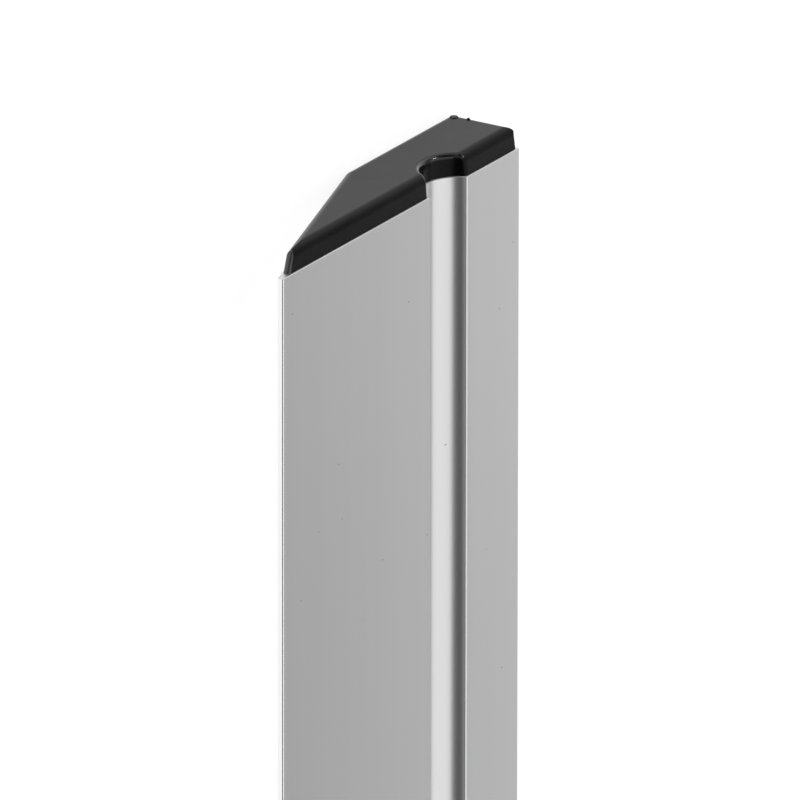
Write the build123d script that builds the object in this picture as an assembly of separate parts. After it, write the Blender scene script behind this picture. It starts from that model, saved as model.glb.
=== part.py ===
"""Trapezoidal plasterer's straightedge: a hollow aluminium bar with a finger groove and two push-in end caps.

The bar lies on its flat back with the working face up. X runs along the bar, Y from the thin working edge
to the thick edge, Z up from the floor. The origin is on the floor under the middle of the bar.
"""

import math
import os

from build123d import *

# Bar: one aluminium extrusion, in millimetres
bar_length = 1000.0
face_width = 100.0
bar_thickness = 18.5
back_width = 45.5
thin_edge = 1.5
wall = 1.4
back_wall = 1.8
edge_wall = 2.5
web = 1.3

# Finger groove: a round channel sunk into the working face
groove_radius = 8.3
groove_depth = 5.5
groove_to_thick_edge = 30.2

# Rounded edges of the extrusion
edge_radius = 0.45
knee_radius = 1.0
thin_side_lip_radius = 0.25
thick_side_lip_radius = 0.6
chamber_radius = 1.2

# End cap head: one moulding, set back from the working face so that it never touches the plaster
cap_height = 5.2
cap_inset = 0.35
cap_setback = 0.5
cap_draft = 4.5
cap_tip_radius = 0.95
cap_corner_radius = 1.0
cap_edge_radius = 2.2
notch_edge_radius = 1.2

# End cap plugs: hollow fingers that push into the bar's chambers and grip with crush ribs
plug_length = 22.0
plug_clearance = 0.2
plug_wall = 1.5
plug_lead_in = 0.6
rib_width = 1.0
rib_gap = 0.02

# Moulding marks left on the head's top, near the thick edge: the gate's stub and a small nib
gate_radius = 1.0
gate_height = 0.15
gate_to_back = 3.0
gate_to_thick_edge = 2.9
nib_radius = 0.4
nib_height = 0.3
nib_to_back = 6.5
nib_to_thick_edge = 2.4

# Places worked out from the sizes above
thin_y = -face_width / 2
thick_y = face_width / 2
knee_y = thick_y - back_width
groove_y = thick_y - groove_to_thick_edge
groove_z = bar_thickness - groove_depth + groove_radius
half_mouth = math.sqrt(groove_radius**2 - (groove_radius - groove_depth) ** 2)
groove_lips = (groove_y - half_mouth, groove_y + half_mouth)
end_plane = Plane.YZ.offset(bar_length / 2)


def taper_line(inset):
    """The tapered back, from thin edge to knee, moved into the bar by inset: a point on it and its slope."""
    run = knee_y - thin_y
    rise = bar_thickness - thin_edge
    normal = Vector(rise, run).normalized()
    point = Vector(thin_y, bar_thickness - thin_edge) + normal * inset
    return point, -rise / run


def trapezoid(front, taper, back, thick):
    """The bar's section with a sharp tip and no groove, each side moved in by its own inset."""
    top = bar_thickness - front
    point, slope = taper_line(taper)
    tip = (point.X + (top - point.Y) / slope, top)
    knee = (point.X + (back - point.Y) / slope, back)
    heel = (thick_y - thick, back)
    shoulder = (thick_y - thick, top)
    return make_face(Polyline(tip, knee, heel, shoulder, close=True))


def groove_disc(margin):
    """The round of the finger groove, grown by margin."""
    return Pos(groove_y, groove_z) * Circle(groove_radius + margin)


def near(vertices, y, z, reach):
    """The vertices within reach of a point of the section."""
    return [v for v in vertices if math.hypot(v.X - y, v.Y - z) < reach]


def outline():
    """The bar's outer section, with its small edge radii and the groove's rounded lips."""
    blunt = Pos(0, bar_thickness / 2) * Rectangle(face_width, bar_thickness)
    section = trapezoid(0, 0, 0, 0) & blunt
    section = fillet(near(section.vertices(), knee_y, 0, wall), knee_radius)
    corners = [v for v in section.vertices() if abs(abs(v.X) - face_width / 2) < wall / 10]
    section = fillet(corners, edge_radius) - groove_disc(0)
    for y, radius in zip(groove_lips, (thin_side_lip_radius, thick_side_lip_radius)):
        section = fillet(near(section.vertices(), y, bar_thickness, wall / 10), radius)
    return section


def corner_radius(margin):
    """The inside corners of the chambers, less the margin that their sides are moved in by."""
    return max(chamber_radius - margin, chamber_radius / 3)


def chambers(margin):
    """The two hollow chambers beside the web under the groove, each side moved in by margin."""
    space = trapezoid(wall + margin, wall + margin, back_wall + margin, edge_wall + margin)
    space -= groove_disc(wall + margin)
    space -= Pos(groove_y, bar_thickness / 2) * Rectangle(web + 2 * margin, bar_thickness)
    return fillet(space.vertices(), corner_radius(margin)).faces().sort_by(Axis.X)


def hollow_bar():
    """The extrusion: outline less its chambers, carried along the bar."""
    section = outline()
    for chamber in chambers(0):
        section -= chamber
    return extrude(Plane.YZ * section, bar_length / 2, both=True)


def upright_edges(solid):
    """The edges that climb from the head's foot to its top, from the thin edge to the thick edge."""
    climbing = [e for e in solid.edges() if e.bounding_box().size.X > cap_height / 2]
    return ShapeList(climbing).sort_by(Axis.Y)


def cap_head():
    """The cap's outer block: drafted sides, rounded upright and top edges, and the groove's notch.

    The top rounding is wider than the upright ones, so the upright edges are cut round after it.
    """
    foot = trapezoid(cap_setback, cap_inset, cap_inset, cap_inset)
    prism = extrude(end_plane * foot, cap_height)
    block = draft(prism.faces().sort_by(Axis.X)[1:-1], end_plane, cap_draft)
    softened = fillet(upright_edges(block)[0], cap_tip_radius)
    softened = fillet(upright_edges(softened)[-2:], cap_corner_radius)
    slivers = block - softened
    head = fillet(block.faces().sort_by(Axis.X)[-1].edges(), cap_edge_radius) - slivers
    head -= extrude(end_plane * groove_disc(cap_setback), 2 * cap_height)
    rim = head.faces().sort_by(Axis.X)[-1].edges().filter_by(GeomType.CIRCLE)
    return fillet(rim.sort_by(SortBy.LENGTH)[-1], notch_edge_radius)


def cap_plugs():
    """The hollow plugs, one per chamber: a thin shell with a chamfered lead-in, open at its far end."""
    lead_in = min(plug_lead_in, 0.7 * corner_radius(plug_clearance), plug_wall / 2)
    shells = []
    for outside, core in zip(chambers(plug_clearance), chambers(plug_clearance + plug_wall)):
        plug = extrude(end_plane * outside, -plug_length)
        mouth = plug.faces().sort_by(Axis.X)[0]
        plug = chamfer(mouth.edges(), lead_in)
        shells.append(plug - extrude(end_plane * core, -plug_length))
    return shells


def crush_ribs():
    """The small ribs on the plugs' front and back walls that close the clearance and hold the cap in."""
    reach = plug_length - 3 * plug_lead_in
    depth = plug_clearance + plug_wall / 2
    front_z = bar_thickness - wall - rib_gap - (depth - rib_gap) / 2
    back_z = back_wall + rib_gap + (depth - rib_gap) / 2
    front_ys = ((thin_y + 2 * knee_y) / 3, (knee_y + groove_lips[0]) / 2, (groove_lips[1] + thick_y) / 2)
    back_ys = ((knee_y + groove_y) / 2, (groove_y + thick_y) / 2)
    places = [(y, front_z) for y in front_ys] + [(y, back_z) for y in back_ys]
    rib = Rectangle(rib_width, depth - rib_gap)
    return [extrude(end_plane * Pos(y, z) * rib, -reach) for y, z in places]


def moulding_mark(radius, height, to_back, to_thick_edge):
    """A round stub standing on the head's top, with a broken rim."""
    place = end_plane.offset(cap_height - cap_edge_radius) * Pos(thick_y - to_thick_edge, to_back)
    stub = extrude(place * Circle(radius), cap_edge_radius + height)
    return chamfer(stub.faces().sort_by(Axis.X)[-1].edges(), 0.6 * min(radius, height))


def end_cap():
    """One whole cap at the bar's +X end: head, plugs, crush ribs and moulding marks."""
    cap = cap_head()
    for piece in (*cap_plugs(), *crush_ribs()):
        cap += piece
    cap += moulding_mark(gate_radius, gate_height, gate_to_back, gate_to_thick_edge)
    cap += moulding_mark(nib_radius, nib_height, nib_to_back, nib_to_thick_edge)
    return cap


def main():
    """Build the three pieces and write one STEP file for each."""
    right_cap = end_cap()
    pieces = {
        "hollow_bar": hollow_bar(),
        "left_end_cap": mirror(right_cap, about=Plane.YZ),
        "right_end_cap": right_cap,
    }
    os.makedirs("parts", exist_ok=True)
    for name, piece in pieces.items():
        export_step(piece, f"parts/{name}.step")


if __name__ == "__main__":
    main()
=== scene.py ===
"""Looks of the trapezoidal straightedge: a satin aluminium bar with black end caps, on a white floor.

Every piece is in metres in the part's own frame: X along the bar, Y from the thin to the thick edge, Z up.
"""

import logging
import math
from dataclasses import dataclass
from enum import Enum
from typing import Any, Mapping, NamedTuple, Optional, Sequence, Tuple, Union

import bpy
import numpy as np
from mathutils import Matrix, Vector
from mathutils.geometry import tessellate_polygon

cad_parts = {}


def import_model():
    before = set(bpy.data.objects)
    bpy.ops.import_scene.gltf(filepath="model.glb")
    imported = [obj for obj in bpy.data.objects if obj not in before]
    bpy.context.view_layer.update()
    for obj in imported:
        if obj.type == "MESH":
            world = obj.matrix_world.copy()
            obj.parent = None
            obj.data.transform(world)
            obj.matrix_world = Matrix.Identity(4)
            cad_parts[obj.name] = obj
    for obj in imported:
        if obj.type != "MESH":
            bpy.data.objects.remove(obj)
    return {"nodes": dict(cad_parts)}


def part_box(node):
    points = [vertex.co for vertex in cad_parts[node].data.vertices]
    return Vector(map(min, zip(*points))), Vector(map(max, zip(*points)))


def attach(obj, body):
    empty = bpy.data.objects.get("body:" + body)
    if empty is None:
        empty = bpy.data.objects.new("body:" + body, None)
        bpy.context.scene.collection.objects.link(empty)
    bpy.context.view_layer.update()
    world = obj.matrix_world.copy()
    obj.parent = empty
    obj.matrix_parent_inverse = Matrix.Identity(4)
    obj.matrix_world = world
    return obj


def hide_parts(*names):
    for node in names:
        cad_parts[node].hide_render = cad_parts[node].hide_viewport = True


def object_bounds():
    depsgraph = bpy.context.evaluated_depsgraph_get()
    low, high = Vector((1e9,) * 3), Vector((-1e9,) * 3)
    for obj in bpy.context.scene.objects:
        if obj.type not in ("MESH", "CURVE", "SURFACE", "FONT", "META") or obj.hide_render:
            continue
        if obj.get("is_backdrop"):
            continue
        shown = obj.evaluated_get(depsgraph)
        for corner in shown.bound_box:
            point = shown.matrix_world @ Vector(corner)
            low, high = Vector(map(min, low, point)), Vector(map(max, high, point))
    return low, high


LOG = logging.getLogger("straightedge")
MM = 0.001
PICTURE_PIXELS = 800
SENSOR_MM = 36.0
SAME_POINT = 1e-8

# Where most of a noise lies, and its middle
NOISE_LOW = 0.3
NOISE_MIDDLE = 0.5
NOISE_HIGH = 0.7

# Shares of a spot's radius that are fully inside it, and of all cells over which spots fade in
SPOT_CORE = 0.4
SPOT_FADE = 0.02

# How far the panels beyond the thick edge lean over towards the bar
FILL_LEAN = math.radians(-65.0)
SPARK_LEAN = math.radians(-31.0)

Triple = Tuple[float, float, float]
Colour = Triple
Number = Union[float, "Value"]


class CapEnd(Enum):
    """The two ends of the bar, by the name of the cap's node."""

    LEFT = "left_end_cap"
    RIGHT = "right_end_cap"


class Scatter(NamedTuple):
    """Round spots: distance between the centres of cells, radius of a spot, share of cells that hold one."""

    spacing: float
    radius: float
    kept: float


class Value:
    """One number of a shader: an output socket, with arithmetic that adds Math nodes."""

    def __init__(self, graph: "NodeGraph", socket: bpy.types.NodeSocket) -> None:
        """Keep the socket and the graph that it belongs to."""
        self.graph = graph
        self.socket = socket

    def __add__(self, other: Number) -> "Value":
        """Sum of two numbers."""
        return self.graph.math("ADD", self, other)

    __radd__ = __add__

    def __sub__(self, other: Number) -> "Value":
        """Difference of two numbers."""
        return self.graph.math("SUBTRACT", self, other)

    def __rsub__(self, other: Number) -> "Value":
        """Difference, with the plain number first."""
        return self.graph.math("SUBTRACT", other, self)

    def __mul__(self, other: Number) -> "Value":
        """Product of two numbers."""
        return self.graph.math("MULTIPLY", self, other)

    __rmul__ = __mul__

    def __abs__(self) -> "Value":
        """The number without its sign."""
        return self.graph.math("ABSOLUTE", self, 0.0)

    def largest(self, other: Number) -> "Value":
        """The larger of two numbers."""
        return self.graph.math("MAXIMUM", self, other)

    def step(self, low: float, high: float) -> "Value":
        """A soft step: 0 at low, 1 at high, smooth between; high may be the smaller of the two.

        Args:
            low: the number that gives 0.
            high: the number that gives 1.

        Returns:
            The step as a number from 0 to 1.
        """
        inputs = {"Value": self, "From Min": low, "From Max": high}
        node = self.graph.node("ShaderNodeMapRange", {"interpolation_type": "SMOOTHSTEP"}, inputs)
        return Value(self.graph, node.outputs["Result"])

    def spread(self) -> "Value":
        """A noise with more contrast, from 0 to 1."""
        return self.step(NOISE_LOW, NOISE_HIGH)

    def swing(self, amount: float) -> "Value":
        """Amount times how far a noise is above its middle."""
        return amount * (self - NOISE_MIDDLE)


class NodeGraph:
    """The node tree of a material or of the world, emptied and ready to be written."""

    def __init__(self, tree: bpy.types.NodeTree) -> None:
        """Empty the tree."""
        self.tree = tree
        tree.nodes.clear()

    @classmethod
    def of_material(cls, name: str) -> Tuple[bpy.types.Material, "NodeGraph"]:
        """Make a new material.

        Args:
            name: the material's name.

        Returns:
            The material and its emptied node tree.
        """
        made = bpy.data.materials.new(name)
        made.use_nodes = True
        return made, cls(made.node_tree)

    def node(
        self,
        kind: str,
        settings: Optional[Mapping[str, Any]] = None,
        inputs: Optional[Mapping[Union[str, int], Any]] = None,
    ) -> bpy.types.Node:
        """Add one node.

        Args:
            kind: the node's type name.
            settings: its properties, set before its sockets.
            inputs: numbers, colours, sockets or Values for its input sockets, by name or index.

        Returns:
            The new node.
        """
        made = self.tree.nodes.new(kind)
        for name, setting in (settings or {}).items():
            setattr(made, name, setting)
        for key, given in (inputs or {}).items():
            source = given.socket if isinstance(given, Value) else given
            if isinstance(source, bpy.types.NodeSocket):
                self.tree.links.new(source, made.inputs[key])
            else:
                made.inputs[key].default_value = source
        return made

    def math(self, operation: str, first: Number, second: Number) -> Value:
        """Add one Math node on two numbers and return its result."""
        made = self.node("ShaderNodeMath", {"operation": operation}, {0: first, 1: second})
        return Value(self, made.outputs[0])

    def vector_math(self, operation: str, *vectors: Any) -> Mapping[str, bpy.types.NodeSocket]:
        """Add one Vector Math node on the vectors and return its outputs, by name."""
        return self.node("ShaderNodeVectorMath", {"operation": operation}, dict(enumerate(vectors))).outputs

    def axes(self, vector: bpy.types.NodeSocket) -> Mapping[str, Value]:
        """The X, Y and Z of a vector, by name."""
        outputs = self.node("ShaderNodeSeparateXYZ", {}, {0: vector}).outputs
        return {axis: Value(self, outputs[axis]) for axis in "XYZ"}

    def stretched(self, scale: Sequence[float], turn: float = 0.0) -> bpy.types.NodeSocket:
        """Object coordinates times scale, then turned about X.

        Args:
            scale: factors along X, Y and Z.
            turn: angle of the turn, in radians.

        Returns:
            The socket with the new coordinates.
        """
        point = self.node("ShaderNodeTexCoord").outputs["Object"]
        inputs = {"Vector": point, "Rotation": (turn, 0.0, 0.0), "Scale": scale}
        return self.node("ShaderNodeMapping", {}, inputs).outputs[0]

    def place(self) -> Mapping[str, Value]:
        """The X, Y and Z of Object coordinates, in metres."""
        return self.axes(self.node("ShaderNodeTexCoord").outputs["Object"])

    def from_line(self, y: float, z: float) -> Value:
        """Distance, in metres, from the line along X through (y, z)."""
        gap = self.vector_math("DISTANCE", self.stretched((0.0, 1.0, 1.0)), (0.0, y, z))
        return Value(self, gap["Value"])

    def noise(self, cell: Sequence[float], detail: float = 2.0, turn: float = 0.0) -> Value:
        """Cloudy noise from about 0.3 to 0.7.

        Args:
            cell: size of a noise cell along X, Y and Z, in metres.
            detail: number of finer layers.
            turn: turn of the stretched coordinates about X, in radians, for another run of the noise.

        Returns:
            The noise as a number.
        """
        point = self.stretched([1 / size for size in cell], turn)
        inputs = {"Vector": point, "Scale": 1.0, "Detail": detail}
        return Value(self, self.node("ShaderNodeTexNoise", {}, inputs).outputs[0])

    def specks(self, scatter: Scatter, flat: bool = False) -> Value:
        """Small scattered round spots.

        Args:
            scatter: spacing, radius and share of the spots.
            flat: True where they lie on a surface along X and Y, False where it turns in all directions.

        Returns:
            1 in a spot and 0 outside, with a soft rim.
        """
        inputs = {"Vector": self.stretched((1 / scatter.spacing,) * 3), "Scale": 1.0}
        settings = {"voronoi_dimensions": "2D" if flat else "3D", "feature": "F1"}
        cells = self.node("ShaderNodeTexVoronoi", settings, inputs)
        lot = self.node("ShaderNodeSeparateColor", {}, {0: cells.outputs["Color"]}).outputs[0]
        rim = scatter.radius / scatter.spacing
        inside = Value(self, cells.outputs["Distance"]).step(rim, SPOT_CORE * rim)
        return inside * Value(self, lot).step(1 - scatter.kept, 1 - scatter.kept + SPOT_FADE)

    def blend(self, share: Number, first: Any, second: Any) -> bpy.types.NodeSocket:
        """Mix two colours by a share from 0 to 1 and return the mixed colour."""
        return self.node("ShaderNodeMix", {"data_type": "RGBA"}, {0: share, 6: first, 7: second}).outputs[2]

    def bump(self, height: Value, depth: float, strength: float) -> bpy.types.NodeSocket:
        """Normals of a surface raised by height, a number from 0 to 1, times depth in metres."""
        inputs = {"Height": height, "Distance": depth, "Strength": strength}
        return self.node("ShaderNodeBump", {}, inputs).outputs[0]

    def surface(self, kind: str, shader: bpy.types.Node) -> None:
        """Add the output node of that kind and link the shader to it."""
        self.node(kind, {}, {"Surface": shader.outputs[0]})

    def principled(self, inputs: Mapping[str, Any]) -> None:
        """Add a Principled shader with those inputs as the material's surface."""
        self.surface("ShaderNodeOutputMaterial", self.node("ShaderNodeBsdfPrincipled", {}, inputs))


def rgba(colour: Colour) -> Tuple[float, float, float, float]:
    """A colour with full opacity, as a socket takes it."""
    return (colour[0], colour[1], colour[2], 1.0)


@dataclass(frozen=True)
class SatinAluminium:
    """Mill-finish extrusion: fine die lines along X, broad pale and dark streaks, a few specks and dents,
    and a highlight painted along the thin edge.
    """

    pale: Colour = (0.762, 0.762, 0.765)
    dark: Colour = (0.747, 0.747, 0.750)
    line_cell: Triple = (12.0, 0.5 * MM, 0.5 * MM)
    line_tone: float = 0.25
    streak_cell: Triple = (40.0, 5.0 * MM, 5.0 * MM)
    streak_tone: float = 0.9
    tone_low: float = 0.25
    tone_high: float = 0.75
    # Painted highlight: a paler colour in a band along the thin edge, where the metal is also less rough
    painted_highlight: Colour = (0.88, 0.88, 0.88)
    highlight_reach: float = 0.55 * MM
    highlight_core: float = 0.165 * MM
    highlight_polish: float = 0.1
    speck: Colour = (0.34, 0.34, 0.34)
    speck_scatter: Scatter = Scatter(14 * MM, 0.30 * MM, 0.2)
    speck_strength: float = 0.7
    speck_rough: float = 0.15
    haze_cell: Triple = (1 / 9, 1 / 30, 1 / 30)
    haze_rough: float = 0.03
    line_rough: float = 0.015
    roughness: float = 0.292
    line_height: float = 0.3
    bump_depth: float = 0.05 * MM
    bump_strength: float = 0.1

    def material(self, thin_edge: float) -> bpy.types.Material:
        """Write the node tree of the finish.

        Args:
            thin_edge: the Y place of the thin edge, along which a highlight is painted into the colour.

        Returns:
            The material.
        """
        made, graph = NodeGraph.of_material("satin_aluminium")
        lines = graph.noise(self.line_cell)
        streaks = graph.noise(self.streak_cell)
        haze = graph.noise(self.haze_cell, detail=3.0)
        specks = graph.specks(self.speck_scatter, flat=True)
        # Mask of the painted highlight: 1 at the thin edge, fading out within its reach
        painted_highlight = graph.place()["Y"].step(thin_edge + self.highlight_reach, thin_edge + self.highlight_core)
        tone = NOISE_MIDDLE + lines.swing(self.line_tone) + streaks.swing(self.streak_tone)
        metal = graph.blend(tone.step(self.tone_low, self.tone_high), rgba(self.dark), rgba(self.pale))
        # Paints the highlight into the colour along the thin edge
        metal = graph.blend(painted_highlight, metal, rgba(self.painted_highlight))
        colour = graph.blend(specks * self.speck_strength, metal, rgba(self.speck))
        rough = self.roughness + lines.swing(self.line_rough) + haze.swing(self.haze_rough)
        # Less rough under the painted highlight along the thin edge
        rough = rough + self.speck_rough * specks - self.highlight_polish * painted_highlight
        normal = graph.bump(self.line_height * lines - specks, self.bump_depth, self.bump_strength)
        graph.principled({"Base Color": colour, "Metallic": 1.0, "Roughness": rough, "Normal": normal})
        return made


@dataclass(frozen=True)
class SawnAluminium:
    """The cut end of the extrusion: a brighter metal with the saw's fine strokes across it."""

    pale: Colour = (0.80, 0.80, 0.80)
    dark: Colour = (0.62, 0.62, 0.62)
    stroke_cell: Triple = (1 / 60, 1 / 60, 0.25 * MM)
    stroke_run: float = math.radians(32.0)
    stroke_rough: float = 0.2
    roughness: float = 0.38
    bump_depth: float = 0.03 * MM
    bump_strength: float = 0.4

    def material(self) -> bpy.types.Material:
        """Write the node tree of the finish.

        Returns:
            The material.
        """
        made, graph = NodeGraph.of_material("sawn_aluminium")
        strokes = graph.noise(self.stroke_cell, turn=self.stroke_run)
        colour = graph.blend(strokes.spread(), rgba(self.dark), rgba(self.pale))
        rough = self.roughness + strokes.swing(self.stroke_rough)
        normal = graph.bump(strokes, self.bump_depth, self.bump_strength)
        graph.principled({"Base Color": colour, "Metallic": 1.0, "Roughness": rough, "Normal": normal})
        return made


@dataclass(frozen=True)
class BlackPlastic:
    """Black moulded plastic: satin, with a fine grain, faint flow clouds and a little pale dust.

    A glossy coat lies where it is rubbed, on the tip and round the notch's rim.
    """

    black: Colour = (0.0018, 0.0018, 0.0019)
    cloud: Colour = (0.0034, 0.0034, 0.0035)
    cloud_pitch: float = 1 / 150
    cloud_rough: float = 0.12
    dust: Colour = (0.10, 0.10, 0.10)
    dust_scatter: Scatter = Scatter(4 * MM, 0.14 * MM, 0.25)
    dust_strength: float = 0.5
    dust_rough: float = 0.2
    grain_pitch: float = 0.16 * MM
    grain_rough: float = 0.10
    grain_depth: float = 0.03 * MM
    grain_strength: float = 0.3
    roughness: float = 0.25
    specular: float = 0.12
    tip_reach: float = 4.2 * MM
    tip_lean: float = 0.43
    tip_fade: float = 0.3 * MM
    rim_reach: float = 1.5 * MM
    rim_fade: float = 0.45 * MM
    rim_coat: float = 0.6
    coat_roughness: float = 0.14
    coat_index: float = 1.7

    def coat(self, graph: NodeGraph, bar: "HollowBar", top: float) -> Value:
        """The weight of the glossy coat.

        On the tip it ends on a slant, further from the thin edge towards the cap's end face. On the notch's
        rim it ends at a distance from the groove's centre line, and at a depth under the end face.

        Args:
            graph: the node tree of the finish.
            bar: the bar, for the places of its ends, its thin edge and its groove.
            top: distance along X from the bar's middle to a cap's end face.

        Returns:
            The weight as a number from 0 to 1.
        """
        place = graph.place()
        out = abs(place["X"])
        tip_end = bar.low.y + self.tip_reach - self.tip_lean * bar.high.x
        tip = (place["Y"] - self.tip_lean * out).step(tip_end, tip_end - self.tip_fade)
        edge = bar.groove_radius + self.rim_reach
        rim = graph.from_line(bar.groove_y, bar.groove_z).step(edge, edge - self.rim_fade)
        inner = top - self.rim_reach
        return tip.largest(self.rim_coat * (rim * out.step(inner, inner + self.rim_fade)))

    def material(self, bar: "HollowBar", top: float) -> bpy.types.Material:
        """Write the node tree of the finish.

        Args:
            bar: the bar that the caps close.
            top: distance along X from the bar's middle to a cap's end face.

        Returns:
            The material.
        """
        made, graph = NodeGraph.of_material("black_plastic")
        grain = graph.noise((self.grain_pitch,) * 3)
        clouds = graph.noise((self.cloud_pitch,) * 3, detail=3.0)
        dust = graph.specks(self.dust_scatter)
        body = graph.blend(clouds.spread(), rgba(self.black), rgba(self.cloud))
        rough = self.roughness + clouds.swing(self.cloud_rough) + grain.swing(self.grain_rough)
        graph.principled(
            {
                "Base Color": graph.blend(dust * self.dust_strength, body, rgba(self.dust)),
                "Roughness": rough + self.dust_rough * dust,
                "Specular IOR Level": self.specular,
                "Coat Weight": self.coat(graph, bar, top),
                "Coat Roughness": self.coat_roughness,
                "Coat IOR": self.coat_index,
                "Normal": graph.bump(grain, self.grain_depth, self.grain_strength),
            }
        )
        return made


@dataclass(frozen=True)
class WhiteFloor:
    """A floor that is white where it is seen or mirrored, and still takes the part's soft shadow."""

    paint: float = 0.80
    seen_paint: float = 0.22
    seen_glow: float = 0.90

    def material(self) -> bpy.types.Material:
        """Write the node tree: plain paint for bounced light, paint and glow for rays that show the floor.

        Returns:
            The material.
        """
        made, graph = NodeGraph.of_material("white_floor")
        path = graph.node("ShaderNodeLightPath")
        camera, glossy, through = (
            Value(graph, path.outputs[name])
            for name in ("Is Camera Ray", "Is Glossy Ray", "Is Transmission Ray")
        )
        plain = graph.node("ShaderNodeBsdfDiffuse", {}, {"Color": rgba((self.paint,) * 3)})
        seen = graph.node("ShaderNodeBsdfDiffuse", {}, {"Color": rgba((self.seen_paint,) * 3)})
        glow = graph.node("ShaderNodeEmission", {}, {"Strength": self.seen_glow})
        both = graph.node("ShaderNodeAddShader", {}, {0: seen.outputs[0], 1: glow.outputs[0]})
        share = camera.largest(glossy).largest(through)
        inputs = {0: share, 1: plain.outputs[0], 2: both.outputs[0]}
        graph.surface("ShaderNodeOutputMaterial", graph.node("ShaderNodeMixShader", {}, inputs))
        return made


class Side(NamedTuple):
    """A straight side of a section: the direction it faces, in radians, and its distance from the origin."""

    facing: float
    reach: float

    @classmethod
    def through(cls, degrees: float, y: float, z: float) -> "Side":
        """The side that faces that way and holds the point (y, z)."""
        angle = math.radians(degrees)
        return cls(angle, y * math.cos(angle) + z * math.sin(angle))


@dataclass(frozen=True)
class Loop:
    """A closed line of a section: its points and the direction that each faces, one row per point."""

    points: np.ndarray
    facing: np.ndarray

    @classmethod
    def join(cls, *stretches: "Loop") -> "Loop":
        """Join arcs, in order, into one loop with straight sides between them.

        Args:
            stretches: the arcs. A point on top of the one before it is left out.

        Returns:
            The closed loop.
        """
        points = np.vstack([stretch.points for stretch in stretches])
        facing = np.vstack([stretch.facing for stretch in stretches])
        kept = np.linalg.norm(points - np.roll(points, 1, axis=0), axis=1) > SAME_POINT
        return cls(points[kept], facing[kept])

    def inset(self, depth: float) -> "Loop":
        """The loop moved in by depth: each point less depth times the direction that it faces."""
        return Loop(self.points - depth * self.facing, self.facing)


@dataclass(frozen=True)
class Patch:
    """Part of a mesh: points, faces as rows of point indices, a direction per corner, and sawn faces."""

    points: np.ndarray
    faces: np.ndarray
    normals: np.ndarray
    sawn: np.ndarray


def arc(centre: Sequence[float], radius: float, start: float, end: float, steps: int, sign: int = 1) -> Loop:
    """An arc: centre plus radius times (cos a, sin a), with a from start to end in even steps.

    Args:
        centre: the arc's centre, as (y, z).
        radius: its radius.
        start: first angle, in radians.
        end: last angle, in radians.
        steps: number of points.
        sign: 1 where the arc faces out from its centre, -1 where it faces its centre.

    Returns:
        The arc as an open stretch of a loop.
    """
    angle = np.linspace(start, end, steps)
    spoke = np.column_stack((np.cos(angle), np.sin(angle)))
    return Loop(np.asarray(centre) + radius * spoke, sign * spoke)


def corner(first: Side, second: Side, radius: float, steps: int) -> Loop:
    """A rounded outer corner: the arc whose centre is radius inside both sides.

    Args:
        first: the side before the corner.
        second: the side after it, which faces further round.
        radius: radius of the corner.
        steps: number of points.

    Returns:
        The arc from the first side's facing to the second's.
    """
    facings = np.array([first.facing, second.facing])
    rows = np.column_stack((np.cos(facings), np.sin(facings)))
    centre = np.linalg.solve(rows, np.array([first.reach, second.reach]) - radius)
    return arc(centre, radius, first.facing, second.facing, steps)


def ring_faces(first: int, rows: int, count: int, outward: bool) -> np.ndarray:
    """Quads between rows of points that each close on themselves.

    Args:
        first: index of the first point.
        rows: number of rows.
        count: points in a row.
        outward: True where a row runs counter-clockwise round solid, False where it runs round a hollow.

    Returns:
        One row of four point indices per quad.
    """
    row, place = np.meshgrid(np.arange(rows - 1), np.arange(count), indexing="ij")
    here = (first + row * count + place).ravel()
    beside = (first + row * count + (place + 1) % count).ravel()
    quads = np.column_stack((here, beside, beside + count, here + count))
    return quads if outward else quads[:, ::-1]


def ring_normals(here: np.ndarray, beside: np.ndarray) -> np.ndarray:
    """Directions at the corners of such quads, from those at their first point and at the one beside it."""
    return np.stack((here, beside, beside, here), axis=1).reshape(-1, 3)


def joined_mesh(name: str, patches: Sequence[Patch]) -> bpy.types.Mesh:
    """Join patches, in order, into one smooth mesh.

    Args:
        name: the mesh's name.
        patches: its parts. Their faces count points over all patches.

    Returns:
        The mesh, with material 1 on its sawn faces and material 0 on the others.
    """
    faces = [face for patch in patches for face in patch.faces.tolist()]
    sawn = np.concatenate([patch.sawn for patch in patches])
    normals = np.vstack([patch.normals for patch in patches])
    normals /= np.linalg.norm(normals, axis=1, keepdims=True)
    mesh = bpy.data.meshes.new(name)
    mesh.from_pydata(np.vstack([patch.points for patch in patches]).tolist(), [], faces)
    mesh.polygons.foreach_set("use_smooth", np.ones(len(faces), bool))
    mesh.polygons.foreach_set("material_index", sawn.astype(np.int32))
    mesh.normals_split_custom_set(normals.tolist())
    return mesh


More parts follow.
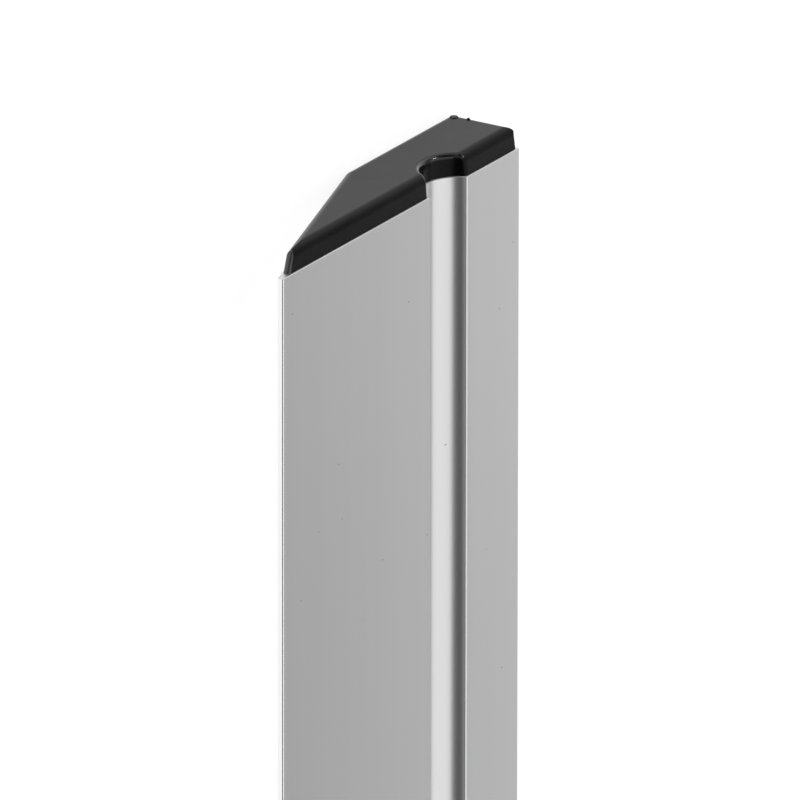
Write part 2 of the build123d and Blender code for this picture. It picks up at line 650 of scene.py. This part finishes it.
@dataclass
class HollowBar:
    """The extrusion: a trapezoid section with a finger groove and two chambers, carried along X."""

    node: str = "hollow_bar"
    piece: str = "aluminium_bar"
    slot: str = "aluminium"
    back_width: float = 45.5 * MM
    thin_edge: float = 1.5 * MM
    wall: float = 1.4 * MM
    back_wall: float = 1.8 * MM
    edge_wall: float = 2.5 * MM
    web: float = 1.3 * MM
    groove_radius: float = 8.3 * MM
    groove_depth: float = 5.5 * MM
    groove_to_thick_edge: float = 30.2 * MM
    edge_radius: float = 0.45 * MM
    knee_radius: float = 1.0 * MM
    thin_side_lip_radius: float = 0.25 * MM
    thick_side_lip_radius: float = 0.6 * MM
    chamber_radius: float = 1.2 * MM
    burr_inset: float = 0.22 * MM
    burr_depth: float = 0.12 * MM
    arc_steps: int = 12
    groove_steps: int = 72
    stations: int = 17

    def __post_init__(self) -> None:
        """Read the bar's box from the frame, and work out its groove's centre and its taper's direction."""
        self.low, self.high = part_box(self.node)
        self.groove_y = self.high.y - self.groove_to_thick_edge
        self.groove_z = self.high.z - self.groove_depth + self.groove_radius
        run = self.high.y - self.back_width - self.low.y
        rise = self.high.z - self.thin_edge - self.low.z
        self.taper_facing = 270.0 - math.degrees(math.atan2(rise, run))

    def sides(self, front: float, taper: float, back: float, thick: float) -> Tuple[Side, Side, Side, Side]:
        """The section's front, taper, back and thick sides, each moved in by its own depth.

        Args:
            front: depth under the working face.
            taper: depth under the tapered back.
            back: depth under the flat back.
            thick: depth under the thick edge.

        Returns:
            The four sides in that order, each facing further round than the last.
        """
        slant = Side.through(self.taper_facing, self.low.y, self.high.z - self.thin_edge)
        return (
            Side.through(90.0, 0.0, self.high.z - front),
            Side(slant.facing, slant.reach - taper),
            Side.through(270.0, 0.0, self.low.z + back),
            Side.through(360.0, self.high.y - thick, 0.0),
        )

    def beside_groove(self, radius: float, drop: float, side: int) -> Tuple[Tuple[float, float], float]:
        """Where a small arc sits beside the groove: radius from its centre, drop below it.

        Args:
            radius: distance from the groove's centre to the arc's centre.
            drop: height of the groove's centre over the arc's centre.
            side: -1 towards the thin edge, 1 towards the thick edge.

        Returns:
            The arc's centre, and the angle below level of the line from the groove's centre to it.
        """
        run = math.sqrt(radius**2 - drop**2)
        return (self.groove_y + side * run, self.groove_z - drop), math.atan2(drop, run)

    def outline(self) -> Loop:
        """The section's outside, with rounded edges and lips.

        A lip is an arc that touches the working face and the groove: its centre lies one lip radius
        under the face, and a groove radius and a lip radius from the groove's centre.

        Returns:
            The loop, counter-clockwise from the thick edge's front corner over the groove.
        """
        front, taper, back, thick = self.sides(0.0, 0.0, 0.0, 0.0)
        thin = Side.through(180.0, self.low.y, 0.0)
        near, far = self.thick_side_lip_radius, self.thin_side_lip_radius
        lift = self.groove_radius - self.groove_depth
        near_lip, near_tilt = self.beside_groove(self.groove_radius + near, lift + near, 1)
        far_lip, far_tilt = self.beside_groove(self.groove_radius + far, lift + far, -1)
        groove = (self.groove_y, self.groove_z)
        return Loop.join(
            corner(Side(0.0, thick.reach), front, self.edge_radius, self.arc_steps),
            arc(near_lip, near, math.pi / 2, math.pi - near_tilt, self.arc_steps),
            arc(groove, self.groove_radius, -near_tilt, far_tilt - math.pi, self.groove_steps, -1),
            arc(far_lip, far, far_tilt, math.pi / 2, self.arc_steps),
            corner(front, thin, self.edge_radius, self.arc_steps),
            corner(thin, taper, self.edge_radius, self.arc_steps),
            corner(taper, back, self.knee_radius, self.arc_steps),
            corner(back, thick, self.edge_radius, self.arc_steps),
        )

    def chambers(self) -> Tuple[Loop, Loop]:
        """The two hollow chambers beside the web.

        The wall round the groove is a wider arc about the groove's centre. The arcs beside it touch it
        and the web or the front wall, so their centres lie one chamber radius from both.

        Returns:
            Their loops, counter-clockwise: thin side of the web first, then the thick side.
        """
        front, taper, back, thick = self.sides(self.wall, self.wall, self.back_wall, self.edge_wall)
        radius, steps = self.chamber_radius, self.arc_steps
        around = self.groove_radius + self.wall
        reach = around + radius
        groove = (self.groove_y, self.groove_z)
        web_drop = math.sqrt(reach**2 - (self.web / 2 + radius) ** 2)
        front_drop = self.groove_z - front.reach + radius
        low_arc, steep = self.beside_groove(reach, web_drop, -1)
        high_arc, tilt = self.beside_groove(reach, front_drop, -1)
        web_side = Side.through(360.0, self.groove_y - self.web / 2, 0.0)
        thin_chamber = Loop.join(
            corner(front, taper, radius, steps),
            corner(taper, back, radius, steps),
            corner(back, web_side, radius, steps),
            arc(low_arc, radius, 0.0, steep, steps),
            arc(groove, around, math.pi + steep, math.pi + tilt, steps, -1),
            arc(high_arc, radius, tilt, math.pi / 2, steps),
        )
        low_arc, steep = self.beside_groove(reach, web_drop, 1)
        high_arc, tilt = self.beside_groove(reach, front_drop, 1)
        web_side = Side.through(180.0, self.groove_y + self.web / 2, 0.0)
        thick_chamber = Loop.join(
            corner(Side(0.0, thick.reach), front, radius, steps),
            arc(high_arc, radius, math.pi / 2, math.pi - tilt, steps),
            arc(groove, around, -tilt, -steep, steps, -1),
            arc(low_arc, radius, math.pi - steep, math.pi, steps),
            corner(web_side, back, radius, steps),
            corner(back, thick, radius, steps),
        )
        return thin_chamber, thick_chamber

    def skin(self, outline: Loop, rim: Loop) -> Patch:
        """The outer wall: the outline at even stations along X, and the rim at both cut ends.

        Between rim and outline the wall leans along X by the burr's inset over its depth.

        Args:
            outline: the section's outside.
            rim: the outline moved in by the burr's inset.

        Returns:
            The wall, whose points come first in the mesh.
        """
        even = np.linspace(self.low.x + self.burr_depth, self.high.x - self.burr_depth, self.stations)
        along = np.concatenate(([self.low.x], even, [self.high.x]))
        rows, count = len(along), len(outline.points)
        section = np.stack([rim.points] + [outline.points] * self.stations + [rim.points])
        points = np.dstack((np.repeat(along[:, None], count, axis=1), section)).reshape(-1, 3)
        steep = self.burr_inset / self.burr_depth
        lean = np.repeat(np.concatenate(([-steep], np.zeros(self.stations - 1), [steep])), count)
        here = np.column_stack((lean, np.tile(outline.facing, (rows - 1, 1))))
        beside = np.column_stack((lean, np.tile(np.roll(outline.facing, -1, axis=0), (rows - 1, 1))))
        return Patch(points, ring_faces(0, rows, count, True), ring_normals(here, beside), lean != 0)

    def lining(self, hollow: Loop, first: int) -> Patch:
        """The wall of a chamber: its loop at both ends of the bar, facing into the hollow.

        Args:
            hollow: the chamber's loop.
            first: index of its first point in the mesh.

        Returns:
            The wall.
        """
        count = len(hollow.points)
        along = np.repeat(np.array([self.low.x, self.high.x]), count)
        points = np.column_stack((along, np.tile(hollow.points, (2, 1))))
        here = np.column_stack((np.zeros(count), -hollow.facing))
        normals = ring_normals(here, np.roll(here, -1, axis=0))
        return Patch(points, ring_faces(first, 2, count, False), normals, np.zeros(count, bool))

    def cut_end(self, loops: Sequence[Loop], firsts: Sequence[int], side: int) -> Patch:
        """The flat cut end: triangles that fill the outer loop around the chambers.

        Args:
            loops: the outer loop and the chambers' loops.
            firsts: index of each loop's first point in the mesh.
            side: -1 or 1, the X direction that the end faces.

        Returns:
            The end, with no points of its own: it stands on those of the walls.
        """
        points = np.vstack([loop.points for loop in loops])
        index = np.concatenate([first + np.arange(len(loop.points)) for loop, first in zip(loops, firsts)])
        lines = [[Vector((y, z, 0.0)) for y, z in loop.points.tolist()] for loop in loops]
        triangles = np.array(tessellate_polygon(lines))
        a, b, c = (points[triangles[:, k]] for k in range(3))
        area = (b[:, 0] - a[:, 0]) * (c[:, 1] - a[:, 1]) - (b[:, 1] - a[:, 1]) * (c[:, 0] - a[:, 0])
        turned = np.where((area * side > 0)[:, None], triangles, triangles[:, ::-1])
        faces = index[turned[np.abs(area) > SAME_POINT**2]]
        normals = np.tile((float(side), 0.0, 0.0), (faces.size, 1))
        return Patch(np.empty((0, 3)), faces, normals, np.ones(len(faces), bool))

    def build(self) -> bpy.types.Object:
        """The bar's mesh: the skin with its end edges broken, the two chambers' linings and the cut ends.

        Returns:
            The bar, which stands for its node.
        """
        outline = self.outline()
        rim = outline.inset(self.burr_inset)
        hollows = self.chambers()
        patches = [self.skin(outline, rim)]
        total = len(patches[0].points)
        firsts = {-1: [0], 1: [total - len(rim.points)]}
        for hollow in hollows:
            patches.append(self.lining(hollow, total))
            firsts[-1].append(total)
            firsts[1].append(total + len(hollow.points))
            total += len(patches[-1].points)
        patches += [self.cut_end((rim, *hollows), firsts[side], side) for side in (-1, 1)]
        bar = bpy.data.objects.new(self.piece, joined_mesh(self.piece, patches))
        bpy.context.scene.collection.objects.link(bar)
        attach(bar, "root")
        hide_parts(self.node)
        return bar

    def dress(self, bar: bpy.types.Object, skin: SatinAluminium, cut: SawnAluminium) -> None:
        """Give the bar its satin skin and its sawn ends."""
        bar.data.materials.append(skin.material(self.low.y))
        bar.data.materials.append(cut.material())


@dataclass
class EndCap:
    """A push-in cap: the part's own solid with a moulded finish."""

    end: CapEnd
    slot: str = "cap_plastic"

    def dress(self, nodes: Mapping[str, bpy.types.Object], plastic: bpy.types.Material) -> bpy.types.Object:
        """Give the cap its plastic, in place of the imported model's plain material.

        Args:
            nodes: the frame's objects, by the name of their node.
            plastic: the finish.

        Returns:
            The cap.
        """
        cap = nodes[self.end.value]
        cap.data.materials.clear()
        cap.data.materials.append(plastic)
        return cap


@dataclass(frozen=True)
class LightPanel:
    """A flat soft lamp that leans over about X. It lights the part and shows only where it is mirrored."""

    name: str
    place: Triple
    lean: float
    length: float
    width: float
    radiance: float

    def build(self) -> bpy.types.Object:
        """Add the lamp: its power is radiance times pi times area, so its face has that radiance.

        Returns:
            The lamp.
        """
        data = bpy.data.lights.new(self.name, "AREA")
        data.shape = "RECTANGLE"
        data.size, data.size_y = self.length, self.width
        data.energy = self.radiance * math.pi * self.length * self.width
        lamp = bpy.data.objects.new(self.name, data)
        lamp.location = self.place
        lamp.rotation_euler = (self.lean, 0.0, 0.0)
        lamp.visible_camera = False
        bpy.context.scene.collection.objects.link(lamp)
        return lamp


@dataclass(frozen=True)
class Studio:
    """A white floor in a dim room, with five panels.

    A long softbox hangs overhead. Beyond the thick edge stand two long fills, one over the other, and a
    faint short one at the photographed end. A small bright panel past that end sparks on the cap's edges.
    """

    floor_half: float = 14.0
    floor_gap: float = 0.05 * MM
    panels: Tuple[LightPanel, ...] = (
        LightPanel("softbox", (0.0, 0.03, 1.1), 0.0, length=2.6, width=1.64, radiance=0.90),
        LightPanel("low_fill", (0.0, 0.5105, 0.171), FILL_LEAN, length=2.6, width=0.27, radiance=0.67),
        LightPanel("high_fill", (0.0, 0.4217, 0.361), FILL_LEAN, length=2.6, width=0.15, radiance=0.22),
        LightPanel("end_fill", (-0.5, 0.476, 0.24), FILL_LEAN, length=0.5, width=0.38, radiance=0.055),
        LightPanel("spark", (-1.305, 0.48, 0.78), SPARK_LEAN, length=0.25, width=0.14, radiance=22.0),
    )
    pale_room: float = 0.90
    dim_room: float = 0.10
    dim_above: float = 0.33
    pale_below: float = 0.05
    side_room: float = 0.55
    side_from: float = -0.1
    side_full: float = -0.4
    side_top: float = 0.75
    side_low: float = 0.5
    flag_turn: float = math.radians(23.0)
    flag_core: float = math.radians(10.0)
    flag_reach: float = math.radians(22.0)
    flag_shade: float = 0.02

    def build_floor(self, finish: WhiteFloor) -> bpy.types.Object:
        """A square floor just under the bar: a grid of two points each way, from -half to half.

        Args:
            finish: the floor's finish.

        Returns:
            The floor.
        """
        line = np.array([-self.floor_half, self.floor_half])
        x, y = (grid.ravel() for grid in np.meshgrid(line, line))
        points = np.column_stack((x, y, np.full(4, -self.floor_gap)))
        mesh = bpy.data.meshes.new("floor")
        mesh.from_pydata(points.tolist(), [], [(0, 1, 3, 2)])
        mesh.materials.append(finish.material())
        floor = bpy.data.objects.new("floor", mesh)
        bpy.context.scene.collection.objects.link(floor)
        floor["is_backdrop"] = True
        return floor

    def build_room(self) -> None:
        """Light the room by direction, whose Z is its height over the horizon.

        It is pale towards the horizon, where the white floor runs up into it, and dim overhead. Beyond the
        thin edge it is half pale up to a height, apart from a dark flag that shades one wall of the groove.
        """
        world = bpy.data.worlds.new("room")
        world.use_nodes = True
        graph = NodeGraph(world.node_tree)
        direction = graph.node("ShaderNodeTexCoord").outputs["Generated"]
        axes = graph.axes(direction)
        level = graph.vector_math("MULTIPLY", direction, (1.0, 1.0, 0.0))["Vector"]
        level = graph.vector_math("NORMALIZE", level)["Vector"]
        flag = (math.sin(self.flag_turn), -math.cos(self.flag_turn), 0.0)
        ahead = Value(graph, graph.vector_math("DOT_PRODUCT", level, flag)["Value"])
        shaded = ahead.step(math.cos(self.flag_reach), math.cos(self.flag_core))
        side = self.side_room + (self.flag_shade - self.side_room) * shaded
        beyond = axes["Y"].step(self.side_from, self.side_full)
        beyond = beyond * axes["Z"].step(self.side_top, self.side_low)
        dim = self.dim_room + beyond * (side - self.dim_room)
        share = axes["Z"].step(self.dim_above, self.pale_below)
        shader = graph.node("ShaderNodeBackground", {}, {"Strength": dim + share * (self.pale_room - dim)})
        graph.surface("ShaderNodeOutputWorld", shader)
        bpy.context.scene.world = world


@dataclass(frozen=True)
class PhotoCamera:
    """A long lens at the photograph's viewing angle, held by one corner of the bar.

    The camera stands along (-sin tilt, -cos tilt sin turn, cos tilt cos turn) from that corner. The
    picture's right is close to (0, cos turn, sin turn), so the bar stands upright in it.
    """

    turn: float = math.radians(58.11)
    tilt: float = math.radians(20.27)
    distance: float = 7.0
    sight: float = 70.0
    pixels_per_metre: float = 4530.0
    corner_right: float = 283.2
    corner_down: float = 279.5

    def build(self, held: Vector) -> bpy.types.Object:
        """Place the camera so that the held corner falls on its own pixel of the picture.

        Args:
            held: the corner of the bar, in the part's frame.

        Returns:
            The camera, set as the scene's own.
        """
        sin_tilt, cos_tilt = math.sin(self.tilt), math.cos(self.tilt)
        sin_turn, cos_turn = math.sin(self.turn), math.cos(self.turn)
        right = Vector((0.0, cos_turn, sin_turn))
        up = Vector((-cos_tilt, sin_tilt * sin_turn, -sin_tilt * cos_turn))
        back = Vector((-sin_tilt, -cos_tilt * sin_turn, cos_tilt * cos_turn))
        middle = PICTURE_PIXELS / 2
        across = (middle - self.corner_right) / self.pixels_per_metre
        down = (middle - self.corner_down) / self.pixels_per_metre
        place = held + back * self.distance
        aim = held + right * across - up * down
        back = (place - aim).normalized()
        right = up.cross(back).normalized()
        up = back.cross(right)
        data = bpy.data.cameras.new("photo_camera")
        data.sensor_width = SENSOR_MM
        data.lens = self.pixels_per_metre * self.distance / PICTURE_PIXELS * SENSOR_MM
        data.clip_end = self.sight
        camera = bpy.data.objects.new("photo_camera", data)
        camera.matrix_world = Matrix.Translation(place) @ Matrix((right, up, back)).transposed().to_4x4()
        bpy.context.scene.collection.objects.link(camera)
        bpy.context.scene.camera = camera
        return camera


def main() -> None:
    """Build the bar, dress the caps, and set the studio and the camera."""
    logging.basicConfig(level=logging.INFO, format="%(name)s: %(message)s")
    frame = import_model()
    packed_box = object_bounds()
    bar = HollowBar()
    piece = bar.build()
    bar.dress(piece, SatinAluminium(), SawnAluminium())
    LOG.info("%s: %d faces", piece.name, len(piece.data.polygons))
    plastic = BlackPlastic().material(bar, packed_box[1].x)
    for end in CapEnd:
        cap = EndCap(end).dress(frame["nodes"], plastic)
        LOG.info("%s: %d faces", cap.name, len(cap.data.polygons))
    studio = Studio()
    studio.build_floor(WhiteFloor())
    for panel in studio.panels:
        panel.build()
    studio.build_room()
    PhotoCamera().build(Vector((bar.low.x, bar.low.y, bar.high.z)))
    bpy.context.scene.view_settings.view_transform = "Standard"


if __name__ == "__main__":
    main()
